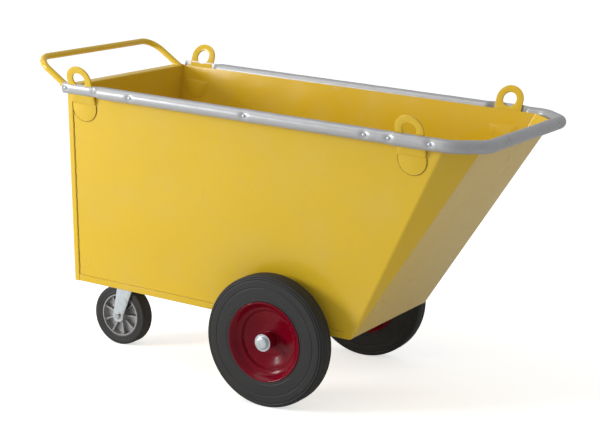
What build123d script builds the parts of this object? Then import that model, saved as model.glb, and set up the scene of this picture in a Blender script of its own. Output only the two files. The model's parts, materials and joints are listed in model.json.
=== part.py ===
from build123d import *
from math import acos, atan2, cos, degrees, hypot, radians, sin, tan
import os

# Hand-pushed tipping trolley: an open sheet-steel tub on two large wheels and one swivel caster.
# Millimetres. +X points to the nose, +Y to the left, +Z up, and the ground is z = 0.
# The origin is the middle of the footprint of the whole trolley, on the ground.
# The tub is drawn in its own frame: zero on the underside of its floor, above the main axle.

os.makedirs("parts", exist_ok=True)

# ---- driving dimensions -------------------------------------------------------------------
# tub, all outside faces
sheet = 3.0
tub_depth = 636.0
rear_top = -754.0
rear_bottom = -768.0
nose_bottom = 235.0
side_fold_top = 532.0
front_top = 614.0
half_width_top = 316.0
half_width_bottom = 240.0
front_half_width_top = 236.0
floor_flange = 20.0
rear_flange = 18.0
rear_top_flange = 27.0
flange_gap = 2.0

# rim tube and its screws
rim_radius = 19.0
rim_wall = 2.5
rim_drop = 3.0
rim_bend = 60.0
rim_gap = 0.3
rim_end = 2.0
side_screws = (-745.0, -634.0, -497.0, -94.0, 297.0, 373.0, 498.0)
front_screws = (-165.0, 205.0)
screw_radius = 2.4
screw_head_radius = 5.0
screw_head = 3.2
screw_reach = 9.0
screw_fit = 0.15

# lifting eyes
eye_places = (("front", 430.0), ("rear", -691.0))
eye_radius = 44.0
eye_bore = 22.5
eye_plate = 6.0
eye_bend_below_rim = 46.0
eye_pad_below_rim = 104.0
eye_centre_above_rim = 30.0
eye_lean = 20.0
crush_margin = 12.0

# push handle
handle_radius = 10.0
handle_wall = 2.0
handle_inset = 11.0
handle_reach = 132.0
handle_lean = 58.0
handle_bend = 55.0
handle_foot = 17.0

# main axle and wheels
wheel_radius = 200.0
tyre_width = 60.0
tyre_shoulder = 22.0
tyre_side_gap = 16.0
rim_lip_radius = 120.0
rim_lip_proud = 1.0
lip_drop = 3.0
bead_inset = 2.5
rim_seat_radius = 106.0
rim_well_radius = 93.0
rim_sheet = 3.0
well_shoulder = 13.0
well_half_width = 6.0
disc_depth = 34.0
disc_dish = 14.0
hub_radius = 23.0
hub_wall = 3.0
hub_outer = 3.0
hub_inner = 12.0
bearing_width = 14.0
axle_radius = 12.5
running_clearance = 0.05
side_clearance = 0.3
floor_above_axle = 29.0
bracket_thickness = 12.0
bracket_inset = 18.0
bracket_width = 90.0
bracket_radius = 24.0
spacer_radius = 17.0
washer_radius = 26.0
washer_thickness = 3.0
cap_radius = 20.0
cap_height = 10.0
cap_wall = 2.0
cap_round = 5.0
axle_end_in_cap = 6.0
axle_chamfer = 1.0

# caster
caster_radius = 100.0
caster_width = 50.0
caster_gap = 18.0
caster_rim_radius = 71.0
caster_reach = 699.0
caster_trail = 55.0
pad_thickness = 24.0
pad_length = 120.0
pad_width = 150.0
plate_length = 110.0
plate_width = 140.0
plate_thickness = 5.0
plate_corner = 10.0
bolt_spacing_x = 80.0
bolt_spacing_y = 105.0
bolt_radius = 5.0
bolt_fit = 0.5
bolt_depth = 16.0
bolt_hole_depth = 17.0
bolt_head_radius = 9.0
bolt_head = 6.5
race_radius = 36.0
race_height = 12.0
race_lip = 3.0
pin_radius = 8.0
pin_head_radius = 15.0
pin_head = 5.0
fork_sheet = 5.0
fork_gap = 3.0
fork_crown_radius = 40.0
leg_end_radius = 20.0
leg_top_width = 68.0
leg_top_back = 18.0
axle_bolt_radius = 6.0
axle_bolt_head = 7.0
axle_bolt_head_radius = 10.0
sleeve_radius = 8.5
caster_hub_radius = 23.0
caster_fins = 9
caster_web = 5.0
caster_fin = 4.0
caster_fin_half = 17.0
caster_rim_half = 22.0
caster_bearing_radius = 16.0
caster_tyre_shoulder = 8.0

# ---- worked-out places ----------------------------------------------------------------------
# The caster's plate clears the tyre; the tub leans until its floor lies on the caster pad at the swivel axis.
caster_height = 2 * caster_radius + caster_gap + fork_sheet + race_height + plate_thickness
floor_rise = caster_height + pad_thickness - wheel_radius
lean = acos(floor_above_axle / hypot(floor_rise, caster_reach)) - atan2(caster_reach, floor_rise)

# In the tub frame: the line of the rim tube, and the bar of the handle.
rim_height = tub_depth - rim_drop
side_slope = atan2(half_width_top - half_width_bottom, tub_depth)
rim_side = half_width_top + rim_radius / cos(side_slope) + rim_gap
rim_front = front_top + (rim_radius**2 - rim_drop**2) ** 0.5 + rim_gap
handle_foot_x = rear_top - handle_foot
handle_half_width = half_width_top - handle_inset
bar_x = handle_foot_x - handle_reach * sin(radians(handle_lean))
bar_z = tub_depth + handle_reach * cos(radians(handle_lean))

# The axle stands where the middle of the whole length falls on x = 0.
rear_end = bar_x * cos(lean) + (bar_z + floor_above_axle) * sin(lean) - handle_radius
front_end = (rim_front + rim_radius + screw_head) * cos(lean)
front_end += (rim_height + floor_above_axle + screw_head_radius) * sin(lean)
axle_x = -(rear_end + front_end) / 2
tub = Location((axle_x, 0, wheel_radius), (0, degrees(lean), 0)) * Location((0, 0, floor_above_axle))
swivel_x = axle_x - caster_reach
caster_x = swivel_x - caster_trail


def half_width(z):
    """Outside half width of the tub at a height in the tub frame."""
    return half_width_bottom + (half_width_top - half_width_bottom) * z / tub_depth


wheel_top_in_tub = wheel_radius - floor_above_axle
wheel_y = half_width(wheel_top_in_tub) + sheet + tyre_side_gap + tyre_width / 2
hub_tip = tyre_width / 2 + hub_outer
hub_root = tyre_width / 2 + hub_inner
bracket_y = half_width_bottom - bracket_inset - bracket_thickness
spacer_end = wheel_y - hub_root - side_clearance


def tub_plane(origin, x_dir=(1, 0, 0), z_dir=(0, 0, 1)):
    """A plane whose origin and directions are given in the tub's frame."""
    return Plane(tub * Plane(origin, x_dir, z_dir).location)


# ---- tub sheets -------------------------------------------------------------------------------
def side_face(side, inset):
    """Plane of a side wall, moved inwards by inset, with its normal pointing out."""
    normal = Vector(0, side * cos(side_slope), -sin(side_slope))
    return tub_plane(Vector(0, side * half_width_bottom, 0) - normal * inset, (1, 0, 0), normal)


def facet_face(side, inset):
    """Plane of the three-cornered face at a front corner, with its normal pointing out."""
    low = Vector(nose_bottom, side * half_width_bottom, 0)
    back = Vector(side_fold_top, side * half_width_top, tub_depth)
    front = Vector(front_top, side * front_half_width_top, tub_depth)
    normal = ((back - low).cross(front - low) * side).normalized()
    return tub_plane(low - normal * inset, back - low, normal)


def front_face(inset):
    """Plane of the sloped front, with its normal pointing out."""
    run = front_top - nose_bottom
    normal = Vector(tub_depth, 0, -run).normalized()
    return tub_plane(Vector(nose_bottom, 0, 0) - normal * inset, (0, 1, 0), normal)


def rear_face(inset):
    """Plane of the rear wall, with its normal pointing out."""
    normal = Vector(-tub_depth, 0, rear_top - rear_bottom).normalized()
    return tub_plane(Vector(rear_bottom, 0, 0) - normal * inset, (0, 1, 0), normal)


def tub_block(side_inset=0.0, bottom_inset=0.0, front_inset=0.0, rear_inset=0.0):
    """Solid block between the tub's faces, each moved inwards by its inset."""
    with BuildPart() as block:
        with BuildSketch(tub_plane((0, 0, bottom_inset))):
            Rectangle(4 * tub_depth, 4 * half_width_top)
        extrude(amount=tub_depth - bottom_inset)
        for side in (-1, 1):
            split(bisect_by=side_face(side, side_inset), keep=Keep.BOTTOM)
            split(bisect_by=facet_face(side, side_inset), keep=Keep.BOTTOM)
        split(bisect_by=front_face(front_inset), keep=Keep.BOTTOM)
        split(bisect_by=rear_face(rear_inset), keep=Keep.BOTTOM)
    return block.part


def side_screw_planes(side):
    """Planes on the rim tube's middle line, one for each screw of a side, facing out."""
    return [tub_plane((x, side * rim_side, rim_height), (1, 0, 0), (0, side, 0)) for x in side_screws]


front_screw_planes = [tub_plane((rim_front, y, rim_height), (0, 1, 0), (1, 0, 0)) for y in front_screws]
all_screw_planes = side_screw_planes(-1) + side_screw_planes(1) + front_screw_planes
screw_length = 2 * rim_radius + sheet + screw_reach


def drill_screws(planes):
    """Cut the rim screws' holes through whatever the current part has there."""
    with Locations(*[plane.offset(rim_radius).location for plane in planes]):
        Cylinder(screw_radius + screw_fit, 2 * screw_length, mode=Mode.SUBTRACT)


whole_block = tub_block()
lined_block = tub_block(side_inset=sheet)
flange_block = tub_block(side_inset=-sheet)
side_walls = tub_block(bottom_inset=sheet, rear_inset=sheet) - lined_block
for side, hand in ((-1, "right"), (1, "left")):
    with BuildPart() as side_panel:
        add(side_walls)
        split(bisect_by=Plane.XZ, keep=Keep.TOP if side < 0 else Keep.BOTTOM)
        drill_screws(side_screw_planes(side))
    side_panel.part.label = f"side_panel_{hand}"
    export_step(side_panel.part, f"parts/side_panel_{hand}.step")

# One sheet makes the floor, the sloped front and the edges turned up outside the side panels.
floor_skin = tub_block(side_inset=-sheet, rear_inset=sheet)
floor_skin -= tub_block(side_inset=-sheet, bottom_inset=sheet, rear_inset=sheet)
front_skin = lined_block - tub_block(side_inset=-sheet, front_inset=sheet)
with BuildPart() as edge_flanges:
    add(flange_block)
    add(whole_block, mode=Mode.SUBTRACT)
    split(bisect_by=tub_plane((0, 0, floor_flange)), keep=Keep.BOTTOM)
    split(bisect_by=rear_face(rear_flange + flange_gap), keep=Keep.BOTTOM)
    split(bisect_by=tub_plane((nose_bottom - floor_flange, 0, 0), (0, 1, 0), (1, 0, 0)), keep=Keep.BOTTOM)
with BuildPart() as floor_and_front:
    add(floor_skin)
    add(front_skin)
    add(edge_flanges.part)
    drill_screws(front_screw_planes)
floor_and_front.part.label = "floor_and_front"
export_step(floor_and_front.part, "parts/floor_and_front.step")

rear_skin = flange_block - tub_block(side_inset=-sheet, rear_inset=sheet)
with BuildPart() as rear_flanges:
    add(flange_block)
    add(whole_block, mode=Mode.SUBTRACT)
    split(bisect_by=rear_face(rear_flange), keep=Keep.TOP)
    split(bisect_by=tub_plane((0, 0, sheet)), keep=Keep.TOP)
with BuildPart() as rear_wall:
    add(rear_skin)
    add(rear_flanges.part)
    with BuildSketch(tub_plane((0, 0, tub_depth))):
        with Locations((rear_top + sheet, 0)):
            Rectangle(rear_top_flange + sheet, 2 * (half_width_top + sheet), align=(Align.MAX, Align.CENTER))
    extrude(amount=-sheet)
    for side in (-1, 1):
        drill_screws([p for x, p in zip(side_screws, side_screw_planes(side)) if x < rear_top + rear_flange])
rear_wall.part.label = "rear_wall"
export_step(rear_wall.part, "parts/rear_wall.step")


# ---- rim tube, its screws and the lifting eyes ------------------------------------------------
def eye_leaf_plane(side, x, outset):
    """Plane of an eye's upper leaf at its bend, moved outwards by outset; its y runs up the leaf."""
    low = tub_depth - eye_bend_below_rim
    turn = radians(eye_lean)
    normal = Vector(0, side * cos(turn), -sin(turn))
    return tub_plane(Vector(x, side * half_width(low), low) + normal * outset, (-side, 0, 0), normal)


def eye_pad_plane(side, x):
    """Plane of an eye's lower pad, on the side wall at the bend; its y runs up the wall."""
    low = tub_depth - eye_bend_below_rim
    normal = Vector(0, side * cos(side_slope), -sin(side_slope))
    return tub_plane(Vector(x, side * half_width(low), low), (-side, 0, 0), normal)


bend_to_eye = (eye_bend_below_rim + eye_centre_above_rim) / cos(radians(eye_lean))
bend_to_pad_end = (eye_pad_below_rim - eye_bend_below_rim) / cos(side_slope)
for place, x in eye_places:
    for side, hand in ((-1, "right"), (1, "left")):
        with BuildPart() as lifting_eye:
            with BuildSketch(eye_leaf_plane(side, x, 0)):
                with Locations((0, bend_to_eye / 2)):
                    Rectangle(2 * eye_radius, bend_to_eye)
                with Locations((0, bend_to_eye)):
                    Circle(eye_radius)
                    Circle(eye_bore, mode=Mode.SUBTRACT)
            extrude(amount=eye_plate)
            with BuildSketch(eye_pad_plane(side, x)):
                with Locations((0, eye_radius - bend_to_pad_end)):
                    Circle(eye_radius)
                Rectangle(2 * eye_radius, bend_to_pad_end - eye_radius, align=(Align.CENTER, Align.MAX))
                Rectangle(2 * eye_radius, 2 * eye_radius, align=(Align.CENTER, Align.MIN), mode=Mode.SUBTRACT)
            extrude(amount=eye_plate)
        lifting_eye.part.label = f"lifting_eye_{place}_{hand}"
        export_step(lifting_eye.part, f"parts/lifting_eye_{place}_{hand}.step")

# The tube runs along one side, round the nose in four bends, and back along the other side.
corner_run = front_top - side_fold_top
corner_spread = half_width_top - front_half_width_top
corner_length = hypot(corner_run, corner_spread)
corner_turn = max(atan2(corner_spread, corner_run), atan2(corner_run, corner_spread))
# The bends clear the tub's folded corners, so the tube stands off the three-cornered faces.
corner_offset = rim_bend - (rim_bend - rim_front + front_top) * cos(corner_turn)
corner_point_x = side_fold_top + corner_offset * corner_spread / corner_length
corner_point_y = half_width_top + corner_offset * corner_run / corner_length
rim_side_corner = corner_point_x + (corner_point_y - rim_side) * corner_run / corner_spread
rim_front_corner = corner_point_y - (rim_front - corner_point_x) * corner_spread / corner_run
rim_start = rear_top - rim_end
front_eye_x = eye_places[0][1]
rear_eye_x = eye_places[1][1]
crush_reach = eye_radius + crush_margin
crushed = (
    (front_eye_x, front_eye_x - crush_reach, front_eye_x + crush_reach),
    (rear_eye_x, rim_start - rim_wall, rear_eye_x + crush_reach),
)
with BuildPart() as rim_tube:
    with BuildLine(tub_plane((0, 0, rim_height))) as rim_line:
        FilletPolyline(
            (rim_start, -rim_side),
            (rim_side_corner, -rim_side),
            (rim_front, -rim_front_corner),
            (rim_front, rim_front_corner),
            (rim_side_corner, rim_side),
            (rim_start, rim_side),
            radius=rim_bend,
        )
    with BuildSketch(Plane(origin=rim_line.line @ 0, z_dir=rim_line.line % 0)):
        Circle(rim_radius)
        Circle(rim_radius - rim_wall, mode=Mode.SUBTRACT)
    sweep()
    # At each eye the tube is crushed flat against the outside of the plate.
    for x, start, end in crushed:
        for side in (-1, 1):
            first = max(start - rim_wall, rim_start)
            with BuildSketch(tub_plane((first, side * rim_side, rim_height), (0, 1, 0), (1, 0, 0))):
                Circle(rim_radius)
            extrude(amount=end + rim_wall - first)
            with BuildSketch(eye_leaf_plane(side, (start + end) / 2, eye_plate + rim_gap)):
                with Locations((0, (eye_bend_below_rim - rim_drop) / cos(radians(eye_lean)))):
                    Rectangle(end - start, 4 * rim_radius)
            extrude(amount=-4 * rim_radius, mode=Mode.SUBTRACT)
    drill_screws(all_screw_planes)
rim_tube.part.label = "rim_tube"
export_step(rim_tube.part, "parts/rim_tube.step")

with BuildPart() as rim_screws:
    with Locations(*[plane.offset(rim_radius).location for plane in all_screw_planes]):
        Cylinder(screw_head_radius, screw_head, align=(Align.CENTER, Align.CENTER, Align.MIN))
        Cylinder(screw_radius, screw_length, align=(Align.CENTER, Align.CENTER, Align.MAX))
rim_screws.part.label = "rim_screws"
export_step(rim_screws.part, "parts/rim_screws.step")

# ---- push handle -------------------------------------------------------------------------------
handle_turn = radians(handle_lean)
handle_plane = tub_plane((handle_foot_x, 0, tub_depth), (0, 1, 0), (cos(handle_turn), 0, sin(handle_turn)))
handle_tail = 2 * handle_radius * tan(handle_turn)
with BuildPart() as push_handle:
    with BuildLine(handle_plane) as handle_line:
        FilletPolyline(
            (-handle_half_width, -handle_tail),
            (-handle_half_width, handle_reach),
            (handle_half_width, handle_reach),
            (handle_half_width, -handle_tail),
            radius=handle_bend,
        )
    with BuildSketch(Plane(origin=handle_line.line @ 0, z_dir=handle_line.line % 0)):
        Circle(handle_radius)
        Circle(handle_radius - handle_wall, mode=Mode.SUBTRACT)
    sweep()
    split(bisect_by=tub_plane((0, 0, tub_depth)), keep=Keep.TOP)
push_handle.part.label = "push_handle"
export_step(push_handle.part, "parts/push_handle.step")

# ---- main axle and what holds it ----------------------------------------------------------------
for side, hand in ((-1, "right"), (1, "left")):
    with BuildPart() as axle_bracket:
        with BuildSketch(tub_plane((0, side * bracket_y, -floor_above_axle), (-side, 0, 0), (0, side, 0))):
            Circle(bracket_radius)
            with Locations((0, floor_above_axle)):
                Rectangle(bracket_width, sheet, align=(Align.CENTER, Align.MAX))
            make_hull()
            Circle(axle_radius + running_clearance, mode=Mode.SUBTRACT)
        extrude(amount=bracket_thickness)
    axle_bracket.part.label = f"axle_bracket_{hand}"
    export_step(axle_bracket.part, f"parts/axle_bracket_{hand}.step")

washer_start = wheel_y + hub_tip + side_clearance
cap_start = washer_start + washer_thickness
axle_half_length = cap_start + axle_end_in_cap
with BuildPart(Plane((axle_x, 0, wheel_radius), (1, 0, 0), (0, 1, 0))) as main_axle:
    Cylinder(axle_radius, 2 * axle_half_length)
    chamfer(main_axle.edges().filter_by(GeomType.CIRCLE), axle_chamfer)
main_axle.part.label = "main_axle"
export_step(main_axle.part, "parts/main_axle.step")


def axle_plane(side, y):
    """Plane across the main axle at a distance from the middle, facing out."""
    return Plane((axle_x, side * y, wheel_radius), (1, 0, 0), (0, side, 0))


def axle_profile(side, y):
    """Plane through the main axle: x runs out along the axle from a distance y, and y is the radius."""
    return Plane((axle_x, side * y, wheel_radius), (0, side, 0), (side, 0, 0))


axle_line = Axis((axle_x, 0, wheel_radius), (0, 1, 0))
bead = tyre_width / 2 - bead_inset
lip = tyre_width / 2 + rim_lip_proud
disc_place = lip - disc_depth
for side, hand in ((-1, "right"), (1, "left")):
    with BuildPart() as axle_spacer:
        with BuildSketch(axle_plane(side, bracket_y + bracket_thickness)):
            Circle(spacer_radius)
            Circle(axle_radius + running_clearance, mode=Mode.SUBTRACT)
        extrude(amount=spacer_end - bracket_y - bracket_thickness)
    axle_spacer.part.label = f"axle_spacer_{hand}"
    export_step(axle_spacer.part, f"parts/axle_spacer_{hand}.step")

    with BuildPart() as axle_washer:
        with BuildSketch(axle_plane(side, washer_start)):
            Circle(washer_radius)
            Circle(axle_radius + running_clearance, mode=Mode.SUBTRACT)
        extrude(amount=washer_thickness)
    axle_washer.part.label = f"axle_washer_{hand}"
    export_step(axle_washer.part, f"parts/axle_washer_{hand}.step")

    # Domed push-on cap: its base grips the axle, and the dome covers the axle's end.
    with BuildPart() as axle_cap:
        with BuildSketch(axle_profile(side, cap_start)):
            with BuildLine():
                Polyline(
                    (0, axle_radius + running_clearance),
                    (0, cap_radius),
                    (cap_height, cap_radius),
                    (cap_height, 0),
                    (cap_height - cap_wall, 0),
                    (cap_height - cap_wall, cap_radius - cap_wall),
                    (cap_wall, cap_radius - cap_wall),
                    (cap_wall, axle_radius + running_clearance),
                    close=True,
                )
            make_face()
            fillet(vertices().sort_by_distance((cap_height, cap_radius))[0], cap_round)
            fillet(vertices().sort_by_distance((cap_height - cap_wall, cap_radius - cap_wall))[0], cap_round - cap_wall)
        revolve(axis=axle_line)
    axle_cap.part.label = f"axle_cap_{hand}"
    export_step(axle_cap.part, f"parts/axle_cap_{hand}.step")

    # ---- main wheel: solid rubber tyre on a pressed rim, a dished disc and a hub tube --------------
    with BuildPart() as tyre:
        with BuildSketch(axle_profile(side, wheel_y)):
            with BuildLine():
                Polyline(
                    (bead, rim_seat_radius),
                    (bead, rim_lip_radius - lip_drop),
                    (tyre_width / 2, rim_lip_radius + lip_drop),
                    (tyre_width / 2, wheel_radius),
                    (-tyre_width / 2, wheel_radius),
                    (-tyre_width / 2, rim_lip_radius + lip_drop),
                    (-bead, rim_lip_radius - lip_drop),
                    (-bead, rim_seat_radius),
                    close=True,
                )
            make_face()
            fillet(vertices().sort_by(Axis.Y)[-2:], tyre_shoulder)
        revolve(axis=axle_line)
    tyre.part.label = f"tyre_{hand}"
    export_step(tyre.part, f"parts/tyre_{hand}.step")

    with BuildPart() as rim:
        with BuildSketch(axle_profile(side, wheel_y)):
            with BuildLine():
                Polyline(
                    (lip, rim_lip_radius),
                    (bead, rim_lip_radius - lip_drop),
                    (bead, rim_seat_radius),
                    (bead - well_shoulder, rim_seat_radius),
                    (well_half_width, rim_well_radius),
                    (-well_half_width, rim_well_radius),
                    (-bead + well_shoulder, rim_seat_radius),
                    (-bead, rim_seat_radius),
                    (-bead, rim_lip_radius - lip_drop),
                    (-lip, rim_lip_radius),
                )
                offset(amount=rim_sheet, side=Side.LEFT)
            make_face()
        revolve(axis=axle_line)
    rim.part.label = f"wheel_rim_{hand}"
    export_step(rim.part, f"parts/wheel_rim_{hand}.step")

    with BuildPart() as disc:
        with BuildSketch(axle_profile(side, wheel_y)):
            with BuildLine():
                Polyline(
                    (disc_place, rim_well_radius - rim_sheet),
                    (disc_place, rim_well_radius - 3 * rim_sheet),
                    (disc_place - disc_dish, 2 * hub_radius),
                    (disc_place - disc_dish, hub_radius),
                )
                offset(amount=rim_sheet, side=Side.RIGHT)
            make_face()
        revolve(axis=axle_line)
    disc.part.label = f"wheel_disc_{hand}"
    export_step(disc.part, f"parts/wheel_disc_{hand}.step")

    with BuildPart() as hub_tube:
        with BuildSketch(axle_plane(side, wheel_y - hub_root)):
            Circle(hub_radius)
            Circle(hub_radius - hub_wall, mode=Mode.SUBTRACT)
        extrude(amount=hub_root + hub_tip)
    hub_tube.part.label = f"hub_tube_{hand}"
    export_step(hub_tube.part, f"parts/hub_tube_{hand}.step")

    with BuildPart() as hub_bearings:
        with BuildSketch(
            axle_plane(side, wheel_y - hub_root),
            axle_plane(side, wheel_y + hub_tip - bearing_width),
        ):
            Circle(hub_radius - hub_wall)
            Circle(axle_radius + running_clearance, mode=Mode.SUBTRACT)
        extrude(amount=bearing_width)
    hub_bearings.part.label = f"hub_bearings_{hand}"
    export_step(hub_bearings.part, f"parts/hub_bearings_{hand}.step")

# ---- caster: what stays with the tub ------------------------------------------------------------
plate_top = Plane((swivel_x, 0, caster_height))
plate_bottom = plate_top.offset(-plate_thickness)
with BuildPart() as caster_pad:
    with BuildSketch(plate_top):
        Rectangle(pad_length, pad_width)
    extrude(amount=2 * pad_thickness + pad_length)
    split(bisect_by=tub_plane((0, 0, 0)), keep=Keep.BOTTOM)
    with BuildSketch(plate_top):
        with GridLocations(bolt_spacing_x, bolt_spacing_y, 2, 2):
            Circle(bolt_radius + screw_fit)
    extrude(amount=bolt_hole_depth, mode=Mode.SUBTRACT)
caster_pad.part.label = "caster_pad"
export_step(caster_pad.part, "parts/caster_pad.step")

with BuildPart() as caster_plate:
    with BuildSketch(plate_bottom):
        RectangleRounded(plate_length, plate_width, plate_corner)
        Circle(pin_radius, mode=Mode.SUBTRACT)
        with GridLocations(bolt_spacing_x, bolt_spacing_y, 2, 2):
            Circle(bolt_radius + bolt_fit, mode=Mode.SUBTRACT)
    extrude(amount=plate_thickness)
caster_plate.part.label = "caster_plate"
export_step(caster_plate.part, "parts/caster_plate.step")

with BuildPart() as caster_bolts:
    with BuildSketch(plate_bottom):
        with GridLocations(bolt_spacing_x, bolt_spacing_y, 2, 2):
            Circle(bolt_radius)
    extrude(amount=plate_thickness + bolt_depth)
    with BuildSketch(plate_bottom):
        with GridLocations(bolt_spacing_x, bolt_spacing_y, 2, 2):
            RegularPolygon(bolt_head_radius, 6)
    extrude(amount=-bolt_head)
caster_bolts.part.label = "caster_bolts"
export_step(caster_bolts.part, "parts/caster_bolts.step")

race_split = (race_height - side_clearance) / 2
with BuildPart() as upper_race:
    with BuildSketch(plate_bottom):
        Circle(race_radius)
        Circle(pin_radius + bolt_fit, mode=Mode.SUBTRACT)
    extrude(amount=-race_split)
upper_race.part.label = "upper_race"
export_step(upper_race.part, "parts/upper_race.step")

crown_top = plate_bottom.offset(-race_height)
crown_bottom = crown_top.offset(-fork_sheet)
with BuildPart() as king_pin:
    with BuildSketch(plate_top):
        Circle(pin_radius)
    extrude(amount=-(plate_thickness + race_height + fork_sheet + side_clearance + pin_head))
    with BuildSketch(crown_bottom.offset(-side_clearance)):
        Circle(pin_head_radius)
    extrude(amount=-pin_head)
    fillet(king_pin.edges().filter_by(GeomType.CIRCLE).sort_by(Axis.Z)[0], side_clearance)
king_pin.part.label = "king_pin"
export_step(king_pin.part, "parts/king_pin.step")

# ---- caster: what swivels -------------------------------------------------------------------------
with BuildPart() as lower_race:
    with BuildSketch(crown_top):
        Circle(race_radius + race_lip)
        Circle(pin_radius + running_clearance, mode=Mode.SUBTRACT)
    extrude(amount=race_split)
lower_race.part.label = "lower_race"
export_step(lower_race.part, "parts/lower_race.step")

leg_inside = caster_width / 2 + fork_gap
leg_outside = leg_inside + fork_sheet
with BuildPart() as caster_fork:
    with BuildSketch(crown_bottom):
        Circle(fork_crown_radius)
        with Locations((-leg_top_back, 0)):
            Rectangle(leg_top_width, 2 * leg_outside)
        make_hull()
        Circle(pin_radius + running_clearance, mode=Mode.SUBTRACT)
    extrude(amount=fork_sheet)
    for side in (-1, 1):
        with BuildSketch(Plane((swivel_x, side * leg_inside, caster_radius), (-side, 0, 0), (0, side, 0))):
            with Locations((side * caster_trail, 0)):
                Circle(leg_end_radius)
            with Locations((side * leg_top_back, caster_height - plate_thickness - race_height - caster_radius)):
                Rectangle(leg_top_width, fork_sheet, align=(Align.CENTER, Align.MAX))
            make_hull()
            with Locations((side * caster_trail, 0)):
                Circle(axle_bolt_radius + running_clearance, mode=Mode.SUBTRACT)
        extrude(amount=fork_sheet)
caster_fork.part.label = "caster_fork"
export_step(caster_fork.part, "parts/caster_fork.step")


def caster_side_plane(y):
    """Plane across the caster's wheel axle at a place along Y, facing +Y."""
    return Plane((caster_x, y, caster_radius), (-1, 0, 0), (0, 1, 0))


with BuildPart() as axle_bolt:
    with BuildSketch(caster_side_plane(-leg_outside)):
        Circle(axle_bolt_radius)
    extrude(amount=2 * leg_outside + axle_bolt_head + fork_gap)
    with BuildSketch(caster_side_plane(-leg_outside)):
        RegularPolygon(axle_bolt_head_radius, 6)
    extrude(amount=-axle_bolt_head)
axle_bolt.part.label = "caster_axle_bolt"
export_step(axle_bolt.part, "parts/caster_axle_bolt.step")

with BuildPart() as axle_nut:
    with BuildSketch(caster_side_plane(leg_outside)):
        RegularPolygon(axle_bolt_head_radius, 6)
        Circle(axle_bolt_radius, mode=Mode.SUBTRACT)
    extrude(amount=axle_bolt_head)
axle_nut.part.label = "caster_axle_nut"
export_step(axle_nut.part, "parts/caster_axle_nut.step")

with BuildPart() as axle_sleeve:
    with BuildSketch(caster_side_plane(-leg_inside)):
        Circle(sleeve_radius)
        Circle(axle_bolt_radius + running_clearance, mode=Mode.SUBTRACT)
    extrude(amount=2 * leg_inside)
axle_sleeve.part.label = "caster_axle_sleeve"
export_step(axle_sleeve.part, "parts/caster_axle_sleeve.step")

# ---- caster wheel ----------------------------------------------------------------------------------
caster_hub_half = caster_width / 2 + fork_gap - side_clearance
with BuildPart() as caster_tyre:
    with BuildSketch(caster_side_plane(-caster_width / 2)):
        Circle(caster_radius)
        Circle(caster_rim_radius, mode=Mode.SUBTRACT)
    extrude(amount=caster_width)
    fillet(caster_tyre.edges().filter_by(GeomType.CIRCLE).sort_by(SortBy.RADIUS)[-2:], caster_tyre_shoulder)
caster_tyre.part.label = "caster_tyre"
export_step(caster_tyre.part, "parts/caster_tyre.step")

with BuildPart() as caster_rim:
    with BuildSketch(caster_side_plane(-caster_rim_half)):
        Circle(caster_rim_radius)
        Circle(caster_rim_radius - caster_web, mode=Mode.SUBTRACT)
    extrude(amount=2 * caster_rim_half)
    with BuildSketch(caster_side_plane(-caster_web / 2)):
        Circle(caster_rim_radius)
    extrude(amount=caster_web)
    with BuildSketch(caster_side_plane(-caster_fin_half)):
        with PolarLocations((caster_hub_radius + caster_rim_radius - caster_web) / 2, caster_fins):
            Rectangle(caster_rim_radius - caster_hub_radius, caster_fin)
    extrude(amount=2 * caster_fin_half)
    with BuildSketch(caster_side_plane(-caster_hub_half)):
        Circle(caster_hub_radius)
    extrude(amount=2 * caster_hub_half)
    with BuildSketch(caster_side_plane(-caster_hub_half)):
        Circle(caster_bearing_radius)
    extrude(amount=2 * caster_hub_half, mode=Mode.SUBTRACT)
caster_rim.part.label = "caster_rim"
export_step(caster_rim.part, "parts/caster_rim.step")

with BuildPart() as caster_bearings:
    with BuildSketch(
        caster_side_plane(-caster_hub_half),
        caster_side_plane(caster_hub_half - bearing_width),
    ):
        Circle(caster_bearing_radius)
        Circle(sleeve_radius + running_clearance, mode=Mode.SUBTRACT)
    extrude(amount=bearing_width)
caster_bearings.part.label = "caster_bearings"
export_step(caster_bearings.part, "parts/caster_bearings.step")
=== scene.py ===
import json
from math import atan2, cos, pi, radians, sin, tan

import bmesh
import bpy
import numpy as np
from mathutils import Euler, Matrix, Vector


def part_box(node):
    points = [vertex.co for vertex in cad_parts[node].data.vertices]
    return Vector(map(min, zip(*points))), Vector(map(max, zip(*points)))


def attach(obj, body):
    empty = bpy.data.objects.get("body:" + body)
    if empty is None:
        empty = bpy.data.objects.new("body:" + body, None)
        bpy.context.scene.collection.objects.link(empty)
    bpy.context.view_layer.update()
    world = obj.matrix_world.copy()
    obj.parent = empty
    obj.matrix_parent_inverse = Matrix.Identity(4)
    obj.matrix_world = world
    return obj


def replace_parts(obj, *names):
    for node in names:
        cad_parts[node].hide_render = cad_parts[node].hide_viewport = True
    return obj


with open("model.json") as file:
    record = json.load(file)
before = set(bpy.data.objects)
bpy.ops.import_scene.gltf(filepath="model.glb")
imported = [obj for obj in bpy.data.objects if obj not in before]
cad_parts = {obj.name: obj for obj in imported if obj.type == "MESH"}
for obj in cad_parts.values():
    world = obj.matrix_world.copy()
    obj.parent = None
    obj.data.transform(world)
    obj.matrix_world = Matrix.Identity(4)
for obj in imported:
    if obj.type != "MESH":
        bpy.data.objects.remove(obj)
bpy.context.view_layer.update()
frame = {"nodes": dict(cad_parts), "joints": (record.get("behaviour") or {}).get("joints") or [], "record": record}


# ---- Camera ------------------------------------------------------------------------------------------
# A long lens at standing height, off the right front corner of the trolley. It looks down a little, and
# its frame is upright to within a third of a degree.
camera_place = Vector((2.588, -4.422, 1.607))
camera_turn = radians(30.27)
camera_dip = radians(12.06)
camera_roll = radians(0.31)
camera_data = bpy.data.cameras.new("camera")
camera_data.lens = 101.9
camera_data.sensor_width = 36.0
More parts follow.
